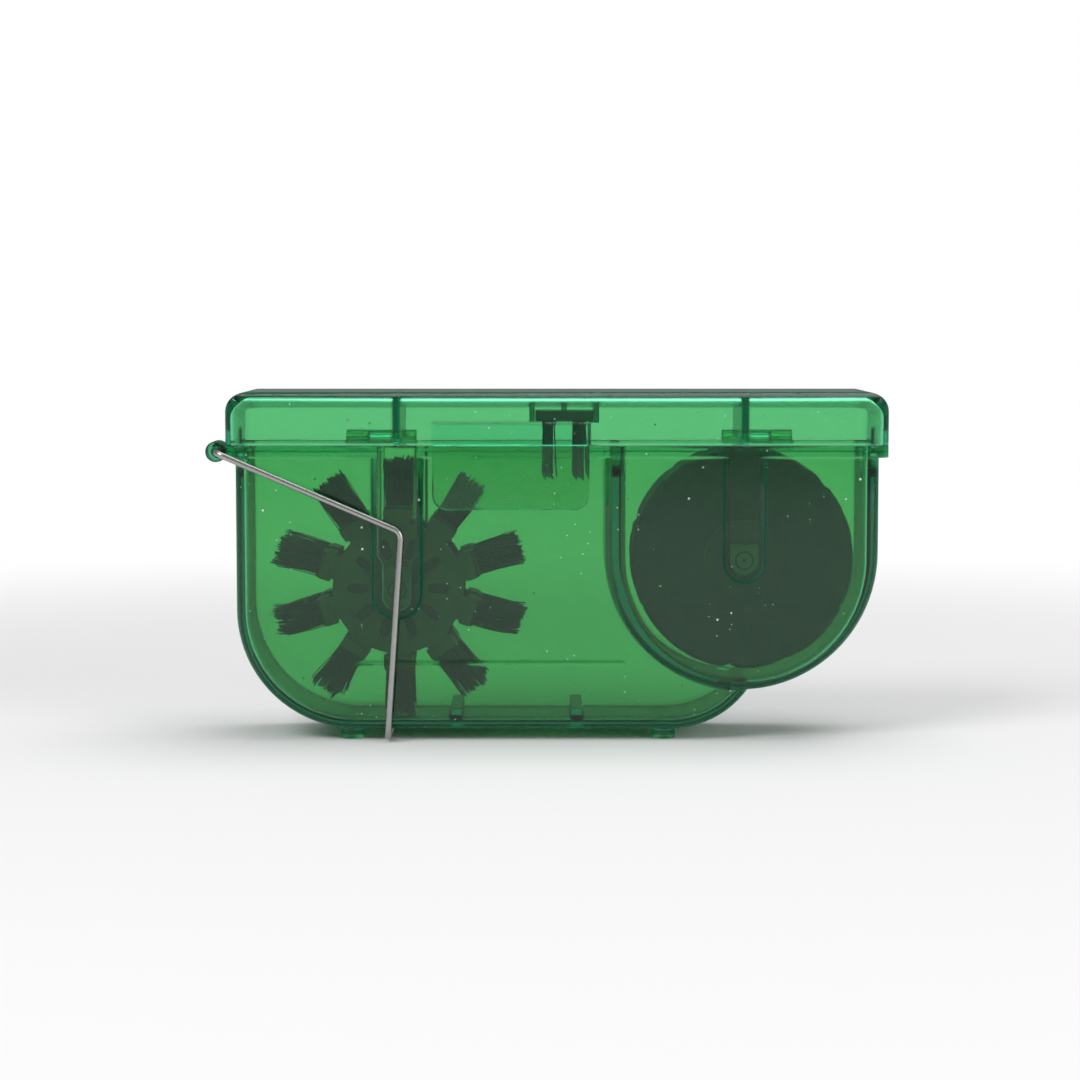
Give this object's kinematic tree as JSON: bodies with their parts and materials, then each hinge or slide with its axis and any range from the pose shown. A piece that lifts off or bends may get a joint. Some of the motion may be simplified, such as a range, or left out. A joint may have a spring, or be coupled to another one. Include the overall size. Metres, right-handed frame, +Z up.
{
  "type": "bike chain cleaner",
  "caption": "Clear green tank with a hinged lid, a rotating brush, a hanging comb and a sponge wheel that clean a bicycle chain run through it, and a wire arm that hooks on the derailleur.",
  "frame": {"origin": "under the middle of the whole object's box, on the surface that its four feet stand on", "axes": "+X along the chain from the brush wheel to the sponge wheel, +Y away from the wall that carries the front tab and the arm, +Z up"},
  "size_m": [0.2112, 0.0542, 0.1086],
  "materials": {
    "clear_green": "clear, gloss",
    "steel": "drawn stainless wire",
    "dark_plastic": "moulded, satin",
    "grey_plastic": "moulded, satin",
    "bristle": "nylon bristle",
    "foam": "open cell foam"
  },
  "bodies": {
    "body": {"tank": "clear_green", "hinge_pins": "steel", "brush_block_front": "grey_plastic", "brush_block_rear": "grey_plastic", "sponge_block_front": "grey_plastic", "sponge_block_rear": "grey_plastic"},
    "lid": {"lid": "clear_green", "comb_block": "dark_plastic", "comb_tufts": "bristle"},
    "brush_wheel": {"brush_axle": "steel", "brush_disc_front": "dark_plastic", "brush_disc_rear": "dark_plastic", "brush_spacer": "dark_plastic", "brush_tufts_front": "bristle", "brush_tufts_rear": "bristle"},
    "sponge_wheel": {"sponge_foam": "foam", "sponge_core": "dark_plastic", "sponge_cap_front": "dark_plastic", "sponge_cap_rear": "dark_plastic", "sponge_axle": "steel"},
    "arm": {"arm": "steel", "arm_cap": "dark_plastic"}
  },
  "joints": [
    {"name": "lid_hinge", "type": "hinge", "parent": "body", "child": "lid", "pos_m": [0.0072, 0.0241, 0.0921], "axis": [-1, 0, 0], "range_deg": [0, 110]},
    {"name": "brush_spin", "type": "hinge", "parent": "body", "child": "brush_wheel", "pos_m": [-0.0466, -0.002, 0.0472], "axis": [0, 1, 0], "continuous": true},
    {"name": "sponge_spin", "type": "hinge", "parent": "body", "child": "sponge_wheel", "pos_m": [0.061, -0.002, 0.0564], "axis": [0, 1, 0], "continuous": true},
    {"name": "arm_swing", "type": "hinge", "parent": "body", "child": "arm", "pos_m": [-0.1024, -0.002, 0.0902], "axis": [0, 1, 0], "range_deg": [0, 190]}
  ]
}
